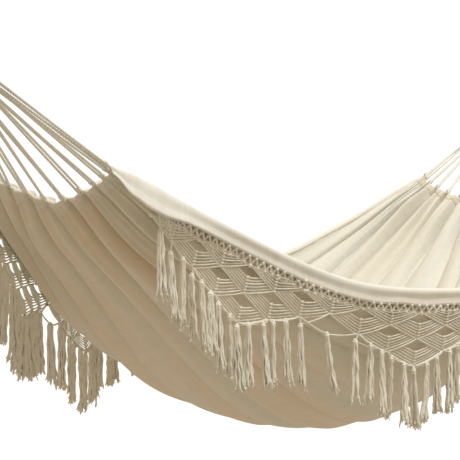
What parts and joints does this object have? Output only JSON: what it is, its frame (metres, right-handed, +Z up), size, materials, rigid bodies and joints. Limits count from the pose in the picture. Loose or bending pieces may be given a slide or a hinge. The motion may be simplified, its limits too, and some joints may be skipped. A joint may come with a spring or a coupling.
{
  "type": "fringed cotton hammock",
  "caption": "Hammock of natural cotton cloth with knotted scalloped side fringes and tassels, hung on two fans of clew lines that gather into hanging eyes.",
  "frame": {"origin": "bearing point of the left hanging eye on its hook", "axes": "+X runs level from the left hook to the right hook, +Z is up, -Y is the near side"},
  "size_m": [3.02, 0.9166, 0.8926],
  "materials": {
    "cloth": "plain-woven unbleached cotton canvas",
    "edge": "the same cloth folded double and stitched",
    "clew_cord": "twisted cotton cord",
    "whipping": "cotton cord wound side by side",
    "net": "knotted cotton strands",
    "tassel": "loose cotton strands with frayed ends"
  },
  "bodies": {
    "left_eye": {"left_eye_loop": "whipping"},
    "right_eye": {"right_eye_loop": "whipping"},
    "bed": {"left_whipping": "whipping", "right_whipping": "whipping", "left_end_hem": "edge", "right_end_hem": "edge", "left_clew_01": "clew_cord", "left_clew_02": "clew_cord", "left_clew_03": "clew_cord", "left_clew_04": "clew_cord", "left_clew_05": "clew_cord", "left_clew_06": "clew_cord", "left_clew_07": "clew_cord", "left_clew_08": "clew_cord", "left_clew_09": "clew_cord", "left_clew_10": "clew_cord", "left_clew_11": "clew_cord", "left_clew_12": "clew_cord", "right_clew_01": "clew_cord", "right_clew_02": "clew_cord", "right_clew_03": "clew_cord", "right_clew_04": "clew_cord", "right_clew_05": "clew_cord", "right_clew_06": "clew_cord", "right_clew_07": "clew_cord", "right_clew_08": "clew_cord", "right_clew_09": "clew_cord", "right_clew_10": "clew_cord", "right_clew_11": "clew_cord", "right_clew_12": "clew_cord", "bed_cloth": "cloth", "near_edge_fold": "edge", "far_edge_fold": "edge", "near_heading": "net", "far_heading": "net", "near_net_band": "net", "far_net_band": "net"},
    "near_fringe_1": {"near_net_1": "net", "near_tassels_1": "tassel"},
    "far_fringe_1": {"far_net_1": "net", "far_tassels_1": "tassel"},
    "near_fringe_2": {"near_net_2": "net", "near_tassels_2": "tassel"},
    "far_fringe_2": {"far_net_2": "net", "far_tassels_2": "tassel"},
    "near_fringe_3": {"near_net_3": "net", "near_tassels_3": "tassel"},
    "far_fringe_3": {"far_net_3": "net", "far_tassels_3": "tassel"},
    "near_fringe_4": {"near_net_4": "net", "near_tassels_4": "tassel"},
    "far_fringe_4": {"far_net_4": "net", "far_tassels_4": "tassel"}
  },
  "joints": [
    {"name": "swing", "type": "hinge", "parent": "left_eye", "child": "bed", "pos_m": [0.08785, 0, -0.0662], "axis": [1, 0, 0], "range_deg": [-45, 45]},
    {"name": "right_eye_turn", "type": "hinge", "parent": "bed", "child": "right_eye", "pos_m": [2.88815, 0, -0.0662], "axis": [1, 0, 0], "range_deg": [-45, 45]},
    {"name": "near_fringe_1_swing", "type": "hinge", "parent": "bed", "child": "near_fringe_1", "pos_m": [0.71573, -0.24914, -0.47148], "axis": [-0.8866, 0.3111, 0.3424], "range_deg": [-8, 90]},
    {"name": "far_fringe_1_swing", "type": "hinge", "parent": "bed", "child": "far_fringe_1", "pos_m": [0.71573, 0.24914, -0.47148], "axis": [0.8866, 0.3111, -0.3424], "range_deg": [-8, 90]},
    {"name": "near_fringe_2_swing", "type": "hinge", "parent": "bed", "child": "near_fringe_2", "pos_m": [1.18289, -0.39943, -0.57725], "axis": [-0.9746, 0.2107, 0.0765], "range_deg": [-8, 90]},
    {"name": "far_fringe_2_swing", "type": "hinge", "parent": "bed", "child": "far_fringe_2", "pos_m": [1.18289, 0.39943, -0.57725], "axis": [0.9746, 0.2107, -0.0765], "range_deg": [-8, 90]},
    {"name": "near_fringe_3_swing", "type": "hinge", "parent": "bed", "child": "near_fringe_3", "pos_m": [1.76005, -0.40661, -0.57985], "axis": [-0.9746, -0.2107, -0.0765], "range_deg": [-8, 90]},
    {"name": "far_fringe_3_swing", "type": "hinge", "parent": "bed", "child": "far_fringe_3", "pos_m": [1.76005, 0.40661, -0.57985], "axis": [0.9746, -0.2107, 0.0765], "range_deg": [-8, 90]},
    {"name": "near_fringe_4_swing", "type": "hinge", "parent": "bed", "child": "near_fringe_4", "pos_m": [2.24697, -0.25405, -0.47662], "axis": [-0.8866, -0.3111, -0.3424], "range_deg": [-8, 90]},
    {"name": "far_fringe_4_swing", "type": "hinge", "parent": "bed", "child": "far_fringe_4", "pos_m": [2.24697, 0.25405, -0.47662], "axis": [0.8866, -0.3111, 0.3424], "range_deg": [-8, 90]}
  ],
  "couplings": [
    {"joint": "right_eye_turn", "follows": "swing", "ratio": -1}
  ]
}
